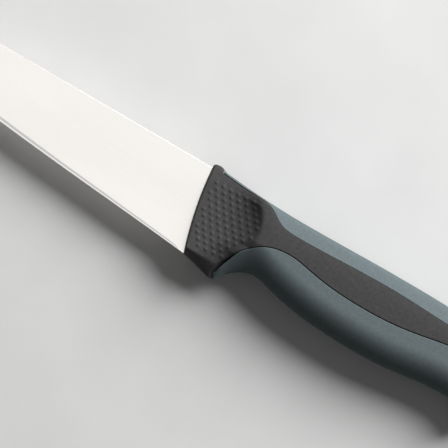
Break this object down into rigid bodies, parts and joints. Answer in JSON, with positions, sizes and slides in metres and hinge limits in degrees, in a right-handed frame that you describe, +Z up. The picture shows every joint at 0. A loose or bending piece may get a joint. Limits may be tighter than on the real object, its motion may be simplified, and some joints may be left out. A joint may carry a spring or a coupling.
{
  "type": "meat knife",
  "caption": "Meat knife with a straight-backed stainless blade and a moulded handle in hard black and soft blue-grey plastic, with a dotted thumb rest on each side.",
  "frame": {"origin": "on the face the knife lies on, under the middle of its outline", "axes": "+X along the blade's back from the tip to the butt, +Y from the cutting edge to the back, +Z up through the thickness"},
  "size_m": [0.328, 0.0388, 0.022],
  "materials": {
    "stainless_steel": "fine satin",
    "black_plastic": "matte charcoal, fine grain",
    "soft_grip": "matte blue-grey, soft touch"
  },
  "bodies": {
    "root": {"blade": "stainless_steel", "handle_core": "black_plastic", "belly_grip": "soft_grip", "back_strip": "soft_grip"}
  },
  "joints": []
}
